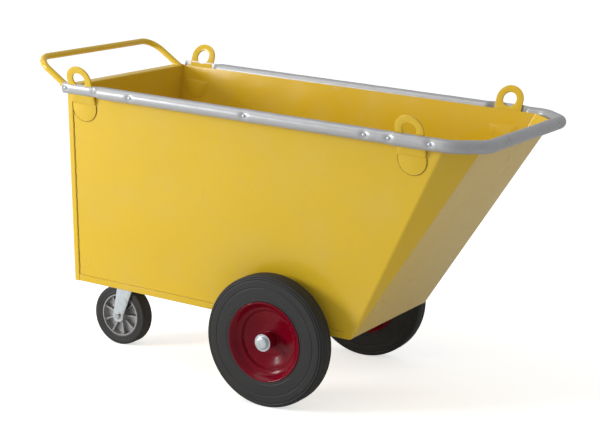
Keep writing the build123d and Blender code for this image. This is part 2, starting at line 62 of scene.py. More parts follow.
camera_data.clip_end = 60.0
camera = bpy.data.objects.new("camera", camera_data)
aim = Euler((pi / 2 - camera_dip, 0.0, camera_turn)).to_matrix() @ Matrix.Rotation(camera_roll, 3, "Z")
camera.matrix_world = Matrix.Translation(camera_place) @ aim.to_4x4()
bpy.context.scene.collection.objects.link(camera)
bpy.context.scene.camera = camera


# ---- Floor and light ---------------------------------------------------------------------------------
# A pale matt studio floor in a white surround, lit by two broad soft lamps: one above, and a stronger one
# off the rear right corner. To the camera the floor glows a little, so that its shadows stay faint.
class Value:
    """A number from a shader socket that can stand in a sum."""

    def __init__(self, finish, socket):
        self.finish = finish
        self.socket = socket

    def sum_with(self, operation, first, second):
        return self.finish.node("ShaderNodeMath", {"operation": operation}, {0: first, 1: second})

    def __add__(self, other):
        return self.sum_with("ADD", self, other)

    def __radd__(self, other):
        return self.sum_with("ADD", other, self)

    def __sub__(self, other):
        return self.sum_with("SUBTRACT", self, other)

    def __rsub__(self, other):
        return self.sum_with("SUBTRACT", other, self)

    def __mul__(self, other):
        return self.sum_with("MULTIPLY", self, other)

    def __rmul__(self, other):
        return self.sum_with("MULTIPLY", other, self)


class Finish:
    """A surface finish: one material with a Principled shader, and the nodes that vary it."""

    def __init__(self, name, **uniform):
        self.material = bpy.data.materials.new(name)
        self.material.use_nodes = True
        self.nodes = self.material.node_tree.nodes
        self.links = self.material.node_tree.links
        self.shader = self.nodes["Principled BSDF"]
        for socket, value in uniform.items():
            self.shader.inputs[socket.replace("_", " ")].default_value = value

    def node(self, kind, settings, inputs, output=0):
        """Add a node, apply its settings, then fill its sockets with numbers, colours or links."""
        made = self.nodes.new(kind)
        for setting, value in settings.items():
            setattr(made, setting, value)
        for socket, value in inputs.items():
            if isinstance(value, Value):
                self.links.new(value.socket, made.inputs[socket])
            else:
                made.inputs[socket].default_value = value
        return Value(self, made.outputs[output])

    def place(self):
        """Object coordinates, in metres."""
        return self.node("ShaderNodeTexCoord", {}, {}, "Object")

    def noise(self, scale, detail=3.0, where=None):
        """Cloudy noise between about 0.2 and 0.8."""
        inputs = {"Vector": where or self.place(), "Scale": scale, "Detail": detail}
        return self.node("ShaderNodeTexNoise", {}, inputs, "Fac")

    def ramp(self, value, low, high):
        """Zero below low, one above high, straight between."""
        inputs = {"Value": value, "From Min": low, "From Max": high}
        return self.node("ShaderNodeMapRange", {"clamp": True}, inputs)

    def stretched(self, scale, detail):
        """Noise drawn out along the axis whose scale is smallest."""
        mapped = self.node("ShaderNodeMapping", {}, {"Vector": self.place(), "Scale": scale})
        return self.noise(1.0, detail, mapped)

    def mix(self, factor, first, second):
        """A colour between two colours."""
        inputs = {"Factor": factor, "A": first, "B": second}
        return self.node("ShaderNodeMix", {"data_type": "RGBA"}, inputs, "Result")

    def bump(self, height, depth, strength=1.0):
        """Raise the surface by height times depth in metres."""
        inputs = {"Height": height, "Distance": depth, "Strength": strength}
        self.feed("Normal", self.node("ShaderNodeBump", {}, inputs, "Normal"))

    def feed(self, socket, value):
        """Link a value to one of the shader's sockets."""
        self.links.new(value.socket, self.shader.inputs[socket])


def rgb(red, green, blue):
    """An opaque colour in linear light."""
    return (red, green, blue, 1.0)


floor_reach = 30
floor_glow = 0.63
floor_corners = [(x * floor_reach, y * floor_reach, 0) for x, y in ((-1, -1), (1, -1), (1, 1), (-1, 1))]
floor_mesh = bpy.data.meshes.new("studio_floor")
floor_mesh.from_pydata(floor_corners, [], [(0, 1, 2, 3)])
studio_floor = bpy.data.objects.new("studio_floor", floor_mesh)
bpy.context.scene.collection.objects.link(studio_floor)
floor_finish = Finish("studio_floor", Roughness=0.9, Emission_Strength=1.0)
floor_finish.shader.inputs["Base Color"].default_value = rgb(0.80, 0.80, 0.80)
seen = floor_finish.node("ShaderNodeLightPath", {}, {}, "Is Camera Ray")
glow = floor_finish.mix(seen, rgb(0.0, 0.0, 0.0), rgb(floor_glow, floor_glow, floor_glow))
floor_finish.feed("Emission Color", glow)
floor_mesh.materials.append(floor_finish.material)

world = bpy.data.worlds.new("white_surround")
bpy.context.scene.world = world
world.use_nodes = True
world.node_tree.nodes["Background"].inputs["Color"].default_value = rgb(1.0, 1.0, 1.0)
world.node_tree.nodes["Background"].inputs["Strength"].default_value = 0.50


def soft_lamp(name, place, target, width, height, power):
    """A rectangular area lamp that faces a target."""
    data = bpy.data.lights.new(name, "AREA")
    data.shape = "RECTANGLE"
    data.size = width
    data.size_y = height
    data.energy = power
    lamp = bpy.data.objects.new(name, data)
    lamp.location = place
    lamp.rotation_euler = (Vector(target) - Vector(place)).to_track_quat("-Z", "Y").to_euler()
    bpy.context.scene.collection.objects.link(lamp)


lamp_target = (0.0, 0.0, 0.5)
soft_lamp("top_lamp", (-1.6, -1.0, 3.8), lamp_target, 2.4, 2.4, 30)
soft_lamp("side_lamp", (-3.8, -3.4, 2.0), lamp_target, 1.6, 1.6, 165)
bpy.context.scene.view_settings.view_transform = "Standard"


# ---- Tub ---------------------------------------------------------------------------------------------
# An open tub welded from 3 mm sheet and powder coated yellow. The side panels carry the three-cornered
# corner faces, the floor runs on into the sloped front, and the edges of floor and rear wall are folded
# up and forward outside the side panels.
tub_depth = 0.636
tub_sheet = 0.003
rear_top = -0.754
rear_bottom = -0.768
nose_bottom = 0.235
side_fold_top = 0.532
front_top = 0.614
half_width_top = 0.316
half_width_bottom = 0.240
front_half_width_top = 0.236
floor_above_axle = 0.029
fold_radius = 0.007

hinge_places = {joint["name"]: joint["pos_m"] for joint in frame["joints"]}
axle_x, hinge_y, axle_z = hinge_places["wheel_right_spin"]
axle = Vector((axle_x, 0.0, axle_z))
mount_axes = {mount["name"]: mount["axis"] for mount in frame["record"]["mounts"]}
eye_axis = mount_axes["lifting_eye_front_right"]
tub_lean = atan2(eye_axis[0], eye_axis[2])


def in_frame(points):
    """Turn points of the tub's own frame about the axle by the tub's lean into the object's frame."""
    x, y, z = np.moveaxis(np.asarray(points, float), -1, 0)
    z = z + floor_above_axle
    leaned_x = axle.x + x * cos(tub_lean) + z * sin(tub_lean)
    leaned_z = axle.z - x * sin(tub_lean) + z * cos(tub_lean)
    return np.stack((leaned_x, y, leaned_z), -1)


def piece(name, grids, finish, body, sharp=35.0):
    """One object from grids of points; each grid is (points, rows wrap, columns wrap, ends closed).

    Neighbouring points of a grid make one quadrilateral; a wrapped direction joins its last to its first,
    and closed ends are filled with one face each.
    """
    vertices, faces, start = [], [], 0
    for points, wrap_rows, wrap_columns, ends in grids:
        rows, columns = points.shape[:2]
        index = np.arange(rows * columns).reshape(rows, columns) + start
        grid = np.vstack([index, index[:1]]) if wrap_rows else index
        grid = np.hstack([grid, grid[:, :1]]) if wrap_columns else grid
        corners = (grid[:-1, :-1], grid[1:, :-1], grid[1:, 1:], grid[:-1, 1:])
        faces += np.stack(corners, -1).reshape(-1, 4).tolist()
        if ends:
            faces += [index[0].tolist(), index[-1][::-1].tolist()]
        vertices.append(points.reshape(-1, 3))
        start += rows * columns
    mesh = bpy.data.meshes.new(name)
    mesh.from_pydata(np.concatenate(vertices).tolist(), [], faces)
    tidy = bmesh.new()
    tidy.from_mesh(mesh)
    bmesh.ops.remove_doubles(tidy, verts=tidy.verts, dist=1e-6)
    bmesh.ops.recalc_face_normals(tidy, faces=tidy.faces)
    tidy.to_mesh(mesh)
    tidy.free()
    mesh.polygons.foreach_set("use_smooth", np.ones(len(mesh.polygons), bool))
    mesh.set_sharp_from_angle(angle=radians(sharp))
    made = bpy.data.objects.new(name, mesh)
    bpy.context.scene.collection.objects.link(made)
    mesh.materials.append(finish.material)
    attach(made, body)
    return made


def eased(corners, radius, steps=7, closed=False):
    """Points along the straight legs between corners, with each corner eased by a curve.

    The curve leaves each leg at radius from the corner, or at 0.45 of a shorter leg, and is the parabola
    (1 - t) squared times its start, plus 2 t (1 - t) times the corner, plus t squared times its end.
    """
    most_of_leg = 0.45
    corners = np.asarray(corners, float)
    share = np.linspace(0.0, 1.0, steps).reshape((-1,) + (1,) * (corners.ndim - 1))
    runs = []
    for number, corner in enumerate(corners):
        if not closed and number in (0, len(corners) - 1):
            runs.append(corner[None])
            continue
        ends = []
        for neighbour in (corners[number - 1], corners[(number + 1) % len(corners)]):
            leg = neighbour - corner
            length = np.maximum(np.linalg.norm(leg, axis=-1, keepdims=True), 1e-9)
            ends.append(corner + leg * np.minimum(radius / length, most_of_leg))
        start, end = ends
        runs.append((1 - share) ** 2 * start + 2 * share * (1 - share) * corner + share**2 * end)
    return np.concatenate(runs)


def sheet_shell(outer, inner):
    """A closed sheet between two like grids: out along one, back along the other, hemmed at both ends."""
    middle = (outer + inner) / 2
    hem = np.concatenate([middle, middle[:, ::-1]], axis=1)
    loop = np.concatenate([outer, inner[:, ::-1]], axis=1)
    return np.concatenate([hem[:1], loop, hem[-1:]]), False, True, False


def wall_half_width(z):
    """Outside half width of the tub at a height above its floor's underside."""
    return half_width_bottom + (half_width_top - half_width_bottom) * z / tub_depth


def front_half_width(z):
    """Half width of the sloped front at a height."""
    return half_width_bottom + (front_half_width_top - half_width_bottom) * z / tub_depth


def rear_x(z):
    """Place of the rear wall's outside at a height."""
    return rear_bottom + (rear_top - rear_bottom) * z / tub_depth


def columns(*values):
    """Stack three numbers or arrays as points."""
    return np.stack(np.broadcast_arrays(*values), -1).astype(float)


yellow = Finish("yellow_powder_coat", Coat_Weight=0.03, Coat_Roughness=0.10, IOR=1.45)
speckle = yellow.noise(420.0, 2.0)
cloud = yellow.noise(3.2, 4.0)
scuffs = yellow.ramp(yellow.noise(26.0, 8.0), 0.60, 0.72)
dust = yellow.ramp(yellow.noise(9.0, 6.0), 0.42, 0.78)
coat = yellow.mix(cloud, rgb(0.715, 0.470, 0.018), rgb(0.775, 0.515, 0.028))
coat = yellow.mix(dust * 0.10, coat, rgb(0.62, 0.50, 0.26))
coat = yellow.mix(scuffs * 0.14, coat, rgb(0.55, 0.36, 0.06))
yellow.feed("Base Color", coat)
yellow.feed("Roughness", 0.11 + cloud * 0.07 + scuffs * 0.14 + dust * 0.10)
yellow.bump(speckle * 0.5 + yellow.noise(60.0, 2.0) * 1.0 + yellow.noise(5.0, 1.0) * 9.0, 0.00028)

panel_height = np.linspace(tub_sheet, tub_depth, 15)
share_up = panel_height / tub_depth
fold_x = nose_bottom + (side_fold_top - nose_bottom) * share_up
front_x = nose_bottom + (front_top - nose_bottom) * share_up
side_normal = np.array([0.0, tub_depth, half_width_bottom - half_width_top])
side_normal /= np.linalg.norm(side_normal)
fold_run = np.array([side_fold_top - nose_bottom, half_width_top - half_width_bottom, tub_depth])
front_run = np.array([front_top - nose_bottom, front_half_width_top - half_width_bottom, tub_depth])
facet_normal = np.cross(fold_run, front_run)
facet_normal *= np.sign(facet_normal[1]) / np.linalg.norm(facet_normal)
for side, hand in ((-1, "right"), (1, "left")):
    face = np.stack([
        columns(rear_x(panel_height) + tub_sheet, wall_half_width(panel_height), panel_height),
        columns(fold_x, wall_half_width(panel_height), panel_height),
        columns(front_x, front_half_width(panel_height), panel_height),
    ])
    fold_shift = (side_normal + facet_normal) / (1 + side_normal @ facet_normal)
    back_face = face - tub_sheet * np.stack([side_normal, fold_shift, facet_normal])[:, None]
    outer = np.swapaxes(eased(face, fold_radius), 0, 1) * (1, side, 1)
    inner = np.swapaxes(eased(back_face, fold_radius - tub_sheet), 0, 1) * (1, side, 1)
    panel_shell = sheet_shell(in_frame(outer), in_frame(inner))
    panel = piece(f"tub_side_{hand}", [panel_shell], yellow, "tub")
    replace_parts(panel, f"side_panel_{hand}")

flange_height = 0.020
flange_bend = 0.005
flange_start = rear_bottom + 0.020
flange_end = nose_bottom - 0.020
floor_rows = np.linspace(flange_start, flange_end, 9)
flange_tip = wall_half_width(flange_height) + tub_sheet
foot = half_width_bottom + tub_sheet
under = [
    columns(floor_rows, flange_tip, flange_height),
    columns(floor_rows, foot, 0.0),
    columns(floor_rows, -foot, 0.0),
    columns(floor_rows, -flange_tip, flange_height),
]
above = [
    columns(floor_rows, flange_tip - tub_sheet, flange_height),
    columns(floor_rows, foot - tub_sheet, tub_sheet),
    columns(floor_rows, tub_sheet - foot, tub_sheet),
    columns(floor_rows, tub_sheet - flange_tip, flange_height),
]
channel = sheet_shell(
    in_frame(np.swapaxes(eased(under, flange_bend), 0, 1)),
    in_frame(np.swapaxes(eased(above, flange_bend - tub_sheet), 0, 1)),
)
heel_rows = columns([rear_bottom + tub_sheet, flange_start], 0.0, 0.0)[:, None]
heel_wide = columns(0.0, [-half_width_bottom, half_width_bottom], 0.0)[None]
heel = sheet_shell(in_frame(heel_rows + heel_wide), in_frame(heel_rows + heel_wide + (0, 0, tub_sheet)))
slope_run = front_top - nose_bottom
slope_length = (slope_run**2 + tub_depth**2) ** 0.5
slope_back = tub_sheet * slope_length / tub_depth
slope_foot = nose_bottom + slope_run * tub_sheet / tub_depth - slope_back
nose_radius = 0.014
nose_side_gap = 0.001
nose_under = [(flange_end, 0.0), (nose_bottom, 0.0), (front_top, tub_depth)]
nose_above = [(flange_end, tub_sheet), (slope_foot, tub_sheet), (front_top - slope_back, tub_depth)]
nose_under = eased(nose_under, nose_radius)
nose_above = eased(nose_above, nose_radius)
nose_wide = np.linspace(-1.0, 1.0, 9)
nose_half = front_half_width(nose_under[:, 1]) - nose_side_gap
nose = sheet_shell(
    in_frame(columns(nose_under[:, :1], nose_half[:, None] * nose_wide, nose_under[:, 1:])),
    in_frame(columns(nose_above[:, :1], nose_half[:, None] * nose_wide, nose_above[:, 1:])),
)
floor_piece = piece("tub_floor_and_front", [channel, heel, nose], yellow, "tub")
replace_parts(floor_piece, "floor_and_front")

flange_depth = 0.018
shelf_depth = 0.027
shelf_joint = tub_depth - 0.010
wall_height = np.linspace(0.0, shelf_joint, 9)
wall_x = rear_x(wall_height)
wide = wall_half_width(wall_height) + tub_sheet
outside = [
    columns(wall_x + flange_depth, wide, wall_height),
    columns(wall_x, wide, wall_height),
    columns(wall_x, -wide, wall_height),
    columns(wall_x + flange_depth, -wide, wall_height),
]
inside = [
    columns(wall_x + flange_depth, wide - tub_sheet, wall_height),
    columns(wall_x + tub_sheet, wide - tub_sheet, wall_height),
    columns(wall_x + tub_sheet, tub_sheet - wide, wall_height),
    columns(wall_x + flange_depth, tub_sheet - wide, wall_height),
]
wall = sheet_shell(
    in_frame(np.swapaxes(eased(outside, flange_bend), 0, 1)),
    in_frame(np.swapaxes(eased(inside, flange_bend - tub_sheet), 0, 1)),
)
shelf_tip = rear_top - shelf_depth
shelf_radius = 0.003
shelf_foot = rear_x(shelf_joint)
shelf_low = tub_depth - tub_sheet
shelf_under = [(shelf_foot, shelf_joint), (rear_top, shelf_low), (shelf_tip, shelf_low)]
shelf_above = [
    (shelf_foot + tub_sheet, shelf_joint), (rear_top + tub_sheet, tub_depth), (shelf_tip, tub_depth),
]
shelf_wide = np.linspace(-1.0, 1.0, 5) * (half_width_top + tub_sheet)
shelf_under = eased(shelf_under, shelf_radius)
shelf_above = eased(shelf_above, shelf_radius + tub_sheet)
shelf = sheet_shell(
    in_frame(columns(shelf_under[:, :1], shelf_wide, shelf_under[:, 1:])),
    in_frame(columns(shelf_above[:, :1], shelf_wide, shelf_above[:, 1:])),
)
rear_piece = piece("tub_rear_wall", [wall, shelf], yellow, "tub")
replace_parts(rear_piece, "rear_wall")


# ---- Rim tube ----------------------------------------------------------------------------------------
# A 38 mm steel tube, bent round the nose and finished in silver grey, that stiffens the tub's open top.
# It is pressed flat where the lifting eyes pass it, squeezed smaller behind the rear eyes, and dented a
# little by each of its screws.
tube_radius = 0.019
tube_drop = 0.003
tube_wall = 0.0025
tube_bend = 0.060
tube_gap = 0.0003
tube_height = tub_depth - tube_drop
wall_slope = atan2(half_width_top - half_width_bottom, tub_depth)
tube_side = half_width_top + tube_radius / cos(wall_slope) + tube_gap
tube_front = front_top + (tube_radius**2 - tube_drop**2) ** 0.5 + tube_gap
tube_end = rear_top - 0.002
side_screws = (-0.745, -0.634, -0.497, -0.094, 0.297, 0.373, 0.498)
front_screws = (-0.165, 0.205)
eye_places = (("front", 0.430), ("rear", -0.691))
eye_radius = 0.044
eye_bore = 0.0225
eye_plate = 0.006
eye_lean = radians(20.0)
eye_bend = tub_depth - 0.046
eye_pad_end = tub_depth - 0.104
eye_centre = tub_depth + 0.030

# The tube's corner stretch runs along the tub's cut corner, set out so that its bends clear the tub.
corner_run = front_top - side_fold_top
corner_spread = half_width_top - front_half_width_top
corner_length = (corner_run**2 + corner_spread**2) ** 0.5
corner_turn = max(atan2(corner_spread, corner_run), atan2(corner_run, corner_spread))
corner_offset = tube_bend - (tube_bend - tube_front + front_top) * cos(corner_turn)
corner_x = side_fold_top + corner_offset * corner_spread / corner_length
corner_y = half_width_top + corner_offset * corner_run / corner_length
side_corner = corner_x + (corner_y - tube_side) * corner_run / corner_spread
front_corner = corner_y - (tube_front - corner_x) * corner_spread / corner_run


def even_steps(line, pitch):
    """The same line with points at an even pitch along its length."""
    length = np.concatenate([[0.0], np.cumsum(np.linalg.norm(np.diff(line, axis=0), axis=1))])
    marks = np.linspace(0.0, length[-1], int(length[-1] / pitch) + 1)
    return np.stack([np.interp(marks, length, line[:, axis]) for axis in range(line.shape[1])], -1)


def leaf_frame(x, side):
    """Origin, outward normal and upward run of an eye's upper leaf, at its bend on the wall."""
    origin = np.array([x, side * wall_half_width(eye_bend), eye_bend])
    outward = np.array([0.0, side * cos(eye_lean), -sin(eye_lean)])
    upward = np.array([0.0, side * sin(eye_lean), cos(eye_lean)])
    return origin, outward, upward


tube_bend_leg = tube_bend * tan(corner_turn / 2)
tube_line = even_steps(eased([
    (tube_end, -tube_side), (side_corner, -tube_side), (tube_front, -front_corner),
    (tube_front, front_corner), (side_corner, tube_side), (tube_end, tube_side),
], tube_bend_leg, 12), 0.0042)
tube_run = np.gradient(tube_line, axis=0)
tube_run /= np.linalg.norm(tube_run, axis=1, keepdims=True)
tube_out = np.stack([tube_run[:, 1], -tube_run[:, 0]], -1)
angle = np.arange(48) * 2 * pi / 48
screw_marks = [(x, side * tube_side) for side in (-1, 1) for x in side_screws]
screw_marks += [(tube_front, y) for y in front_screws]
away = np.min([np.hypot(tube_line[:, 0] - x, tube_line[:, 1] - y) for x, y in screw_marks], axis=0)
off_outside = np.angle(np.exp(1j * angle))
dent_depth = 0.0050
dent_length = 0.0100
dent_arc = 0.62
dent_along = np.exp(-((away / dent_length) ** 2))[:, None]
dent = dent_depth * dent_along * np.exp(-((off_outside / dent_arc) ** 2))
# Slight waves run along and round the tube, so that its light isn't ruled straight.
ripple_depth = 0.00022
ripple = ripple_depth * np.sin(tube_line[:, :1] * 61.0 + 2.0 * angle)
ripple = ripple * np.sin(tube_line[:, :1] * 23.0 + tube_line[:, 1:] * 17.0)
tube_reach = tube_radius - dent + ripple - ripple_depth
tube = np.empty(tube_reach.shape + (3,))
tube[..., :2] = tube_line[:, None] + tube_out[:, None] * (tube_reach * np.cos(angle))[..., None]
tube[..., 2] = tube_height + tube_reach * np.sin(angle)
flat_ahead = 0.026
flat_behind = 0.026
flat_ease = 0.022
flat_spread = 0.10
for place, eye_x in eye_places:
    for side in (-1, 1):
        origin, normal, upward = leaf_frame(eye_x, side)
        flat_start = tube_end - 1.0 if place == "rear" else eye_x - eye_radius - flat_behind
        ahead = np.clip((eye_x + eye_radius + flat_ahead - tube[..., 0]) / flat_ease, 0, 1)
        behind = np.clip((tube[..., 0] - flat_start) / flat_ease, 0, 1)
        pressed = (tube[..., 1] * side > 0) * (ahead * behind) ** 2 * (3 - 2 * ahead * behind)
        depth = np.maximum(eye_plate + tube_gap - (tube - origin) @ normal, 0.0)
        tube += (pressed * depth)[..., None] * normal
        tube_middle = np.array([0, side * tube_side, tube_height])
        spread = (tube - origin) @ upward - (tube_middle - origin) @ upward
        tube += (pressed * spread * flat_spread)[..., None] * upward


squeeze_front = -0.612
squeeze_ease = 0.026
squeeze = 0.34
squeeze_along_axes = (1.0, 1.0, 0.45)


def squeezed(x):
    """How far the tube is squeezed small: 1 back of the rear eyes, easing to 0 ahead of them.

    With t the share of the easing length, it is t squared times (3 - 2 t).
    """
    share = np.clip((squeeze_front - x) / squeeze_ease, 0, 1)
    return share * share * (3 - 2 * share)


small = squeeze * squeezed(tube[..., 0])
wall_side = np.sign(tube[..., 1]) * (tube_side - tube_radius)
wall_line = np.stack([tube[..., 0], wall_side, np.full_like(small, tube_height)], -1)
tube = wall_line + (tube - wall_line) * (1 - small[..., None] * squeeze_along_axes)
middle = tube.mean(axis=1, keepdims=True)
bore = middle + (tube - middle) * (1 - tube_wall / tube_radius)
bore_rows = 8
tube = np.concatenate([bore[bore_rows:0:-1], bore[:1], tube, bore[-1:], bore[-2:-bore_rows - 2:-1]])

grey = Finish("silver_grey_tube", Metallic=0.35, IOR=1.5)
brushed = grey.stretched((9.0, 60.0, 60.0), 4.0)
blotch = grey.noise(7.0, 5.0)
worn = grey.ramp(grey.noise(34.0, 8.0), 0.58, 0.70)
silver = grey.mix(blotch, rgb(0.42, 0.425, 0.435), rgb(0.49, 0.495, 0.505))
silver = grey.mix(brushed * 0.12, silver, rgb(0.30, 0.31, 0.34))
silver = grey.mix(worn * 0.08, silver, rgb(0.16, 0.15, 0.14))
grey.feed("Base Color", silver)
grey.feed("Roughness", 0.33 + brushed * 0.12 + worn * 0.10)
grey.bump(brushed * 0.5 + grey.noise(48.0, 3.0) * 0.5, 0.00025)
rim_piece = piece("rim_tube_dented", [(in_frame(tube), False, True, True)], grey, "tub", 40.0)
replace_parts(rim_piece, "rim_tube")


# ---- Rim screws --------------------------------------------------------------------------------------
# Zinc-plated pan-head screws with a cross recess, driven through the tube's wall into the tub's top edge.
# Each head sits a little sunk in the dent that it has pulled into the tube.
head_radius = 0.005
head_height = 0.0032
head_skirt = 0.004
head_proud = 0.0012
recess_depth = 0.0016
recess_half = 0.00062
recess_reach = 0.0030
squeeze_at_head = 0.93
zinc = Finish("zinc_plate", Metallic=0.9)
spangle = zinc.node("ShaderNodeTexVoronoi", {}, {"Vector": zinc.place(), "Scale": 240.0}, "Distance")
stain = zinc.ramp(zinc.noise(55.0, 6.0), 0.50, 0.72)
plated = zinc.mix(spangle, rgb(0.66, 0.72, 0.76), rgb(0.54, 0.60, 0.64))
zinc.feed("Base Color", zinc.mix(stain * 0.45, plated, rgb(0.32, 0.28, 0.24)))
zinc.feed("Roughness", 0.32 + stain * 0.26 + spangle * 0.10)
zinc.bump(spangle + zinc.noise(300.0, 3.0), 0.00006)
head_turn = np.arange(40) * 2 * pi / 40
ring = np.concatenate([np.arange(0.0002, 0.0027, 0.0004), [0.0032, 0.0039, 0.0045, 0.0049, 0.0050, 0.0050]])
dome = head_height * (1 - 0.55 * (ring / head_radius) ** 2.6)
dome[-1] = -head_skirt
from_cross = np.minimum(np.abs(np.sin(head_turn)), np.abs(np.cos(head_turn))) * ring[:, None]
recess = np.clip((recess_half - from_cross) / 0.0003, 0, 1)
recess = recess_depth * recess * np.clip((recess_reach - ring[:, None]) / 0.0006, 0, 1)
head_level = dome[:, None] - recess
ring_across = (ring[:, None] * np.cos(head_turn))[..., None]
ring_up = (ring[:, None] * np.sin(head_turn))[..., None]
heads = []
for x, y in screw_marks:
    facing = np.array([1.0, 0.0, 0.0]) if abs(y) < front_corner else np.array([0.0, np.sign(y), 0.0])
    sideways = np.array([-facing[1], facing[0], 0.0])
    sunk = squeeze * squeezed(x) * 2 * tube_radius * squeeze_at_head
    seat = np.array([x, y, tube_height]) + facing * (tube_radius - dent_depth + head_proud - sunk)
    spot = seat + head_level[..., None] * facing
    spot = spot + ring_across * sideways + ring_up * (0, 0, 1)
    heads.append((in_frame(spot), False, True, True))
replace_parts(piece("rim_screw_heads", heads, zinc, "tub", 30.0), "rim_screws")


# ---- Lifting eyes ------------------------------------------------------------------------------------
# Four 6 mm plates, flame cut with a round end and a bore for a shackle, bent outwards, welded flat on the
# outside of the side walls below the rim, and painted with the tub.
def plate_ring(outline, bore, angle, thickness, edge):
    """A flat plate about a centre, as the reach from it and the level of each point, by angle.

    Rows go round the section: down the outer rim, then up the bore. Each edge of the plate is a quarter
    circle, at reach minus edge times (1 - cos t) and level half the thickness minus edge times (1 - sin t).
    """
    quarter = np.linspace(0.0, pi / 2, 4)
    lift = thickness / 2 - edge
    inset = edge * (1 - np.cos(quarter))
    rise = lift + edge * np.sin(quarter)
    outer = np.concatenate([np.stack([-inset[::-1], rise[::-1]]), np.stack([-inset, -rise])], axis=1)
    inner = np.concatenate([np.stack([inset[::-1], -rise[::-1]]), np.stack([inset, rise])], axis=1)
    reach = np.concatenate([outline + outer[0][:, None], bore + inner[0][:, None] + 0 * angle])
    level = np.concatenate([outer[1], inner[1]])[:, None] + thickness / 2 + 0 * angle
    return reach, level


eye_angle = np.arange(96) * 2 * pi / 96
eye_edge = 0.0012
pad_proud = 0.0022
pad_hole = 0.0005
outer_rows = 8
to_side = eye_radius / np.maximum(np.abs(np.cos(eye_angle)), 1e-6)
leaf_length = (eye_centre - eye_bend) / cos(eye_lean)
pad_straight = (eye_bend - eye_pad_end) / cos(wall_slope) - eye_radius
for place, eye_x in eye_places:
    for side, hand in ((-1, "right"), (1, "left")):
        origin, normal, upward = leaf_frame(eye_x, side)
        to_bend = leaf_length / np.maximum(-np.sin(eye_angle), 1e-6)
        leaf_outline = np.where(np.sin(eye_angle) > 0, eye_radius, np.minimum(to_side, to_bend))
        reach, level = plate_ring(leaf_outline, eye_bore, eye_angle, eye_plate, eye_edge)
        leaf = origin + upward * leaf_length + (reach * np.cos(eye_angle))[..., None] * (1, 0, 0)
        leaf = leaf + (reach * np.sin(eye_angle))[..., None] * upward + level[..., None] * normal
        wall_normal = np.array([0.0, side * cos(wall_slope), -sin(wall_slope)])
        wall_run = np.array([0.0, side * sin(wall_slope), cos(wall_slope)])
        to_top = pad_straight / np.maximum(np.sin(eye_angle), 1e-6)
        pad_outline = np.where(np.sin(eye_angle) < 0, eye_radius, np.minimum(to_side, to_top))
        reach, level = plate_ring(pad_outline, pad_hole, eye_angle, eye_plate, eye_edge)
        reach = reach[:outer_rows]
        level = level[:outer_rows] - eye_plate + pad_proud
        pad = origin - wall_run * pad_straight + (reach * np.cos(eye_angle))[..., None] * (1, 0, 0)
        pad = pad + (reach * np.sin(eye_angle))[..., None] * wall_run + level[..., None] * wall_normal
        eye_grids = [(in_frame(leaf), True, True, False), (in_frame(pad), False, True, True)]
        eye_piece = piece(f"lifting_eye_{place}_{hand}_plate", eye_grids, yellow, "tub")
        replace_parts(eye_piece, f"lifting_eye_{place}_{hand}")


# ---- Push handle -------------------------------------------------------------------------------------
# A 20 mm steel tube bent into a bow and painted with the tub. It stands on the rear wall's top flange,
# where a bead of weld runs round each foot.
def weld_bead(line, size, closed):
    """A bead of weld along a line: a round section whose radius swells and shrinks along it.

    The radius is size times one plus two small sines of the distance along the line.
    """
    line = np.concatenate([line, line[:1]]) if closed else line
    run = np.gradient(line, axis=0)
    run /= np.maximum(np.linalg.norm(run, axis=1, keepdims=True), 1e-9)
    lead = np.cross(run, np.where(np.abs(run[:, 2:]) > 0.8, (1.0, 0.0, 0.0), (0.0, 0.0, 1.0)))
    lead /= np.linalg.norm(lead, axis=1, keepdims=True)
    over = np.cross(run, lead)
    length = np.concatenate([[0.0], np.cumsum(np.linalg.norm(np.diff(line, axis=0), axis=1))])
    swell = size * (1 + 0.20 * np.sin(length * 900.0) + 0.14 * np.sin(length * 370.0 + 1.0))
    around = np.arange(10) * 2 * pi / 10
    bead = line[:, None] + (swell[:, None] * np.cos(around))[..., None] * lead[:, None]
    bead = bead + (swell[:, None] * np.sin(around))[..., None] * over[:, None]
    return (in_frame(bead[:-1] if closed else bead), closed, True, not closed)


handle_radius = 0.010
handle_foot_x = rear_top - 0.017
handle_foot_y = half_width_top - 0.011
handle_lean = radians(58.0)
foot_bead = 0.0016
bead_lift = foot_bead / 2
shelf_margin = 0.002
foot_half_length = 0.98 * (handle_radius + 0.0004) / cos(handle_lean)
foot_half_width = handle_radius + 0.0006
foot_angle = np.arange(72) * 2 * pi / 72
foot_beads = []
for side in (-1, 1):
    oval_x = np.maximum(handle_foot_x + foot_half_length * np.cos(foot_angle), shelf_tip + shelf_margin)
    oval_y = side * handle_foot_y + foot_half_width * np.sin(foot_angle)
    foot_beads.append(weld_bead(columns(oval_x, oval_y, tub_depth + bead_lift), foot_bead, True))
piece("handle_foot_welds", foot_beads, yellow, "tub")
frame["nodes"]["push_handle"].data.materials[0] = yellow.material


